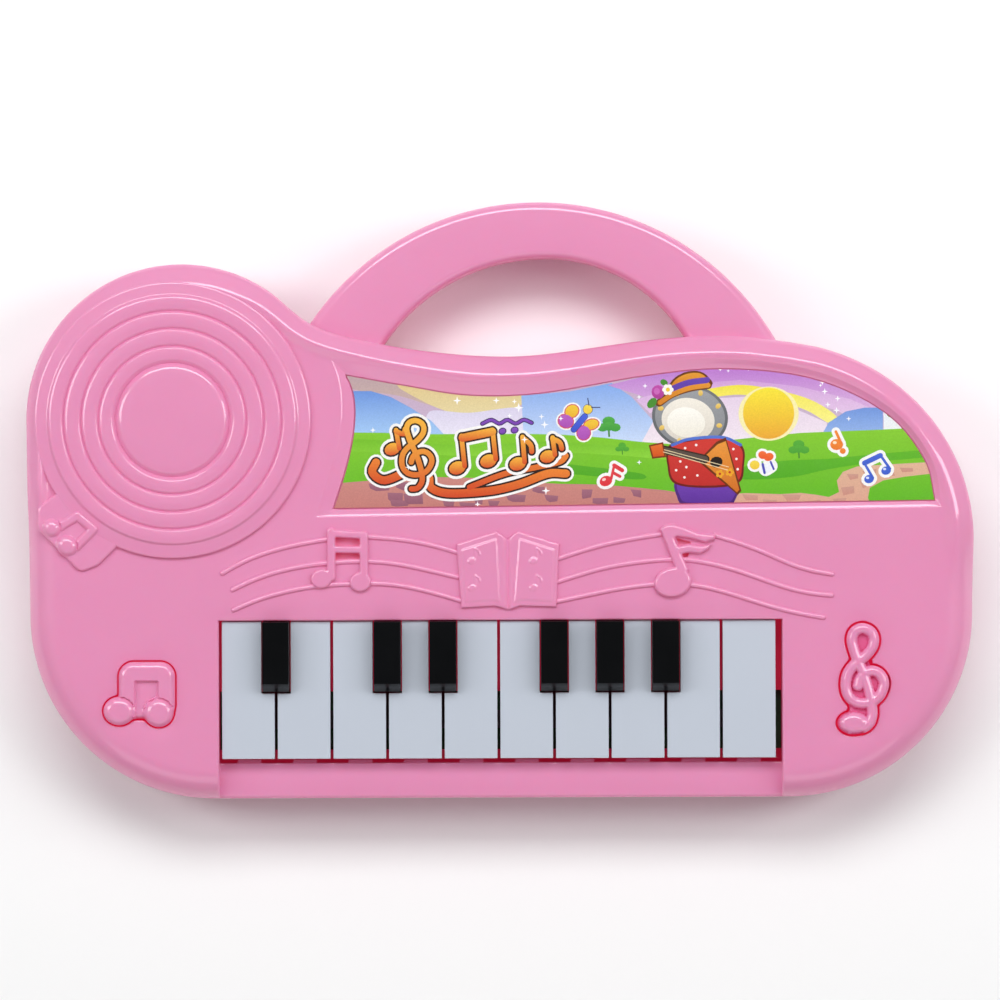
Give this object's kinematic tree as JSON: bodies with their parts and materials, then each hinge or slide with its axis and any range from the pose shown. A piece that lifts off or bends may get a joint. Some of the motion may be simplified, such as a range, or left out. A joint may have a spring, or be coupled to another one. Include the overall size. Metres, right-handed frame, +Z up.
{
  "type": "toy electronic keyboard",
  "caption": "Hand-held toy keyboard with a carrying handle, hinged white and black keys, note-shaped push buttons, speaker, battery bay and power switch.",
  "frame": {"origin": "middle of the bounding box, at the level the feet stand on", "axes": "+X to the player's right, +Y away from the player towards the handle, +Z up out of the face"},
  "size_m": [0.2497, 0.1572, 0.0315],
  "materials": {
    "pink_plastic": "smooth semi-gloss injection moulding",
    "deep_pink_plastic": "unpolished moulding",
    "printed_sticker": "printed film, satin",
    "white_key_plastic": "smooth",
    "black_key_plastic": "smooth",
    "plated_steel": "nickel plated",
    "contact_rubber": "matte",
    "green_board": "solder mask",
    "epoxy": "cast",
    "speaker_steel": "pressed",
    "cone_paper": "fibre",
    "black_plastic": "fine",
    "cell_sleeve": "printed sleeve",
    "red_wire": "insulation",
    "black_wire": "insulation"
  },
  "bodies": {
    "case": {"top_shell": "pink_plastic", "bottom_shell": "pink_plastic", "display_sticker": "printed_sticker", "pivot_rod": "plated_steel", "key_frame": "deep_pink_plastic", "contact_rubber": "contact_rubber", "circuit_board": "green_board", "chip_blob": "epoxy", "board_screw_1": "plated_steel", "board_screw_2": "plated_steel", "note_button_dome": "contact_rubber", "clef_button_dome": "contact_rubber", "speaker_frame": "speaker_steel", "speaker_cone": "cone_paper", "speaker_magnet": "speaker_steel", "switch_body": "plated_steel", "battery_1": "cell_sleeve", "battery_2": "cell_sleeve", "battery_contact_positive": "plated_steel", "battery_contact_negative": "plated_steel", "battery_contact_link": "plated_steel", "case_screw_1": "plated_steel", "case_screw_2": "plated_steel", "case_screw_3": "plated_steel", "case_screw_4": "plated_steel", "case_screw_5": "plated_steel", "case_screw_6": "plated_steel", "case_screw_7": "plated_steel", "lead_battery_positive": "red_wire", "lead_battery_negative": "black_wire", "lead_switch": "black_wire", "lead_speaker_red": "red_wire", "lead_speaker_black": "black_wire"},
    "white_key_1": {"white_key_1": "white_key_plastic"},
    "white_key_2": {"white_key_2": "white_key_plastic"},
    "white_key_3": {"white_key_3": "white_key_plastic"},
    "white_key_4": {"white_key_4": "white_key_plastic"},
    "white_key_5": {"white_key_5": "white_key_plastic"},
    "white_key_6": {"white_key_6": "white_key_plastic"},
    "white_key_7": {"white_key_7": "white_key_plastic"},
    "white_key_8": {"white_key_8": "white_key_plastic"},
    "white_key_9": {"white_key_9": "white_key_plastic"},
    "white_key_10": {"white_key_10": "white_key_plastic"},
    "black_key_1": {"black_key_1": "black_key_plastic"},
    "black_key_2": {"black_key_2": "black_key_plastic"},
    "black_key_3": {"black_key_3": "black_key_plastic"},
    "black_key_4": {"black_key_4": "black_key_plastic"},
    "black_key_5": {"black_key_5": "black_key_plastic"},
    "black_key_6": {"black_key_6": "black_key_plastic"},
    "note_button": {"note_button": "pink_plastic"},
    "clef_button": {"clef_button": "pink_plastic"},
    "switch_slider": {"switch_slider": "black_plastic"},
    "battery_cover": {"battery_cover": "pink_plastic", "battery_cover_screw": "plated_steel"}
  },
  "joints": [
    {"name": "white_key_1_press", "type": "hinge", "parent": "case", "child": "white_key_1", "pos_m": [0, -0.017, 0.0196], "axis": [1, 0, 0], "range_deg": [0, 3.4], "stiffness_Nm_per_rad": 0.3, "springref_deg": -1.72, "deforming": ["contact_rubber"]},
    {"name": "white_key_2_press", "type": "hinge", "parent": "case", "child": "white_key_2", "pos_m": [0, -0.017, 0.0196], "axis": [1, 0, 0], "range_deg": [0, 3.4], "stiffness_Nm_per_rad": 0.3, "springref_deg": -1.72, "deforming": ["contact_rubber"]},
    {"name": "white_key_3_press", "type": "hinge", "parent": "case", "child": "white_key_3", "pos_m": [0, -0.017, 0.0196], "axis": [1, 0, 0], "range_deg": [0, 3.4], "stiffness_Nm_per_rad": 0.3, "springref_deg": -1.72, "deforming": ["contact_rubber"]},
    {"name": "white_key_4_press", "type": "hinge", "parent": "case", "child": "white_key_4", "pos_m": [0, -0.017, 0.0196], "axis": [1, 0, 0], "range_deg": [0, 3.4], "stiffness_Nm_per_rad": 0.3, "springref_deg": -1.72, "deforming": ["contact_rubber"]},
    {"name": "white_key_5_press", "type": "hinge", "parent": "case", "child": "white_key_5", "pos_m": [0, -0.017, 0.0196], "axis": [1, 0, 0], "range_deg": [0, 3.4], "stiffness_Nm_per_rad": 0.3, "springref_deg": -1.72, "deforming": ["contact_rubber"]},
    {"name": "white_key_6_press", "type": "hinge", "parent": "case", "child": "white_key_6", "pos_m": [0, -0.017, 0.0196], "axis": [1, 0, 0], "range_deg": [0, 3.4], "stiffness_Nm_per_rad": 0.3, "springref_deg": -1.72, "deforming": ["contact_rubber"]},
    {"name": "white_key_7_press", "type": "hinge", "parent": "case", "child": "white_key_7", "pos_m": [0, -0.017, 0.0196], "axis": [1, 0, 0], "range_deg": [0, 3.4], "stiffness_Nm_per_rad": 0.3, "springref_deg": -1.72, "deforming": ["contact_rubber"]},
    {"name": "white_key_8_press", "type": "hinge", "parent": "case", "child": "white_key_8", "pos_m": [0, -0.017, 0.0196], "axis": [1, 0, 0], "range_deg": [0, 3.4], "stiffness_Nm_per_rad": 0.3, "springref_deg": -1.72, "deforming": ["contact_rubber"]},
    {"name": "white_key_9_press", "type": "hinge", "parent": "case", "child": "white_key_9", "pos_m": [0, -0.017, 0.0196], "axis": [1, 0, 0], "range_deg": [0, 3.4], "stiffness_Nm_per_rad": 0.3, "springref_deg": -1.72, "deforming": ["contact_rubber"]},
    {"name": "white_key_10_press", "type": "hinge", "parent": "case", "child": "white_key_10", "pos_m": [0, -0.017, 0.0196], "axis": [1, 0, 0], "range_deg": [0, 3.4], "stiffness_Nm_per_rad": 0.3, "springref_deg": -1.72, "deforming": ["contact_rubber"]},
    {"name": "black_key_1_press", "type": "hinge", "parent": "case", "child": "black_key_1", "pos_m": [0, -0.017, 0.0196], "axis": [1, 0, 0], "range_deg": [0, 3.2], "stiffness_Nm_per_rad": 0.3, "springref_deg": -1.72, "deforming": ["contact_rubber"]},
    {"name": "black_key_2_press", "type": "hinge", "parent": "case", "child": "black_key_2", "pos_m": [0, -0.017, 0.0196], "axis": [1, 0, 0], "range_deg": [0, 3.2], "stiffness_Nm_per_rad": 0.3, "springref_deg": -1.72, "deforming": ["contact_rubber"]},
    {"name": "black_key_3_press", "type": "hinge", "parent": "case", "child": "black_key_3", "pos_m": [0, -0.017, 0.0196], "axis": [1, 0, 0], "range_deg": [0, 3.2], "stiffness_Nm_per_rad": 0.3, "springref_deg": -1.72, "deforming": ["contact_rubber"]},
    {"name": "black_key_4_press", "type": "hinge", "parent": "case", "child": "black_key_4", "pos_m": [0, -0.017, 0.0196], "axis": [1, 0, 0], "range_deg": [0, 3.2], "stiffness_Nm_per_rad": 0.3, "springref_deg": -1.72, "deforming": ["contact_rubber"]},
    {"name": "black_key_5_press", "type": "hinge", "parent": "case", "child": "black_key_5", "pos_m": [0, -0.017, 0.0196], "axis": [1, 0, 0], "range_deg": [0, 3.2], "stiffness_Nm_per_rad": 0.3, "springref_deg": -1.72, "deforming": ["contact_rubber"]},
    {"name": "black_key_6_press", "type": "hinge", "parent": "case", "child": "black_key_6", "pos_m": [0, -0.017, 0.0196], "axis": [1, 0, 0], "range_deg": [0, 3.2], "stiffness_Nm_per_rad": 0.3, "springref_deg": -1.72, "deforming": ["contact_rubber"]},
    {"name": "note_button_press", "type": "slide", "parent": "case", "child": "note_button", "axis": [0, 0, -1], "range_m": [0, 0.0015], "stiffness_N_per_m": 500, "springref_m": -0.0005, "deforming": ["note_button_dome"]},
    {"name": "clef_button_press", "type": "slide", "parent": "case", "child": "clef_button", "axis": [0, 0, -1], "range_m": [0, 0.0015], "stiffness_N_per_m": 500, "springref_m": -0.0005, "deforming": ["clef_button_dome"]},
    {"name": "power_slide", "type": "slide", "parent": "case", "child": "switch_slider", "axis": [1, 0, 0], "range_m": [0, 0.004]},
    {"name": "battery_cover_hinge", "type": "hinge", "parent": "case", "child": "battery_cover", "pos_m": [0.0655, 0.008, 0.0015], "axis": [0, -1, 0], "range_deg": [0, 75]}
  ]
}
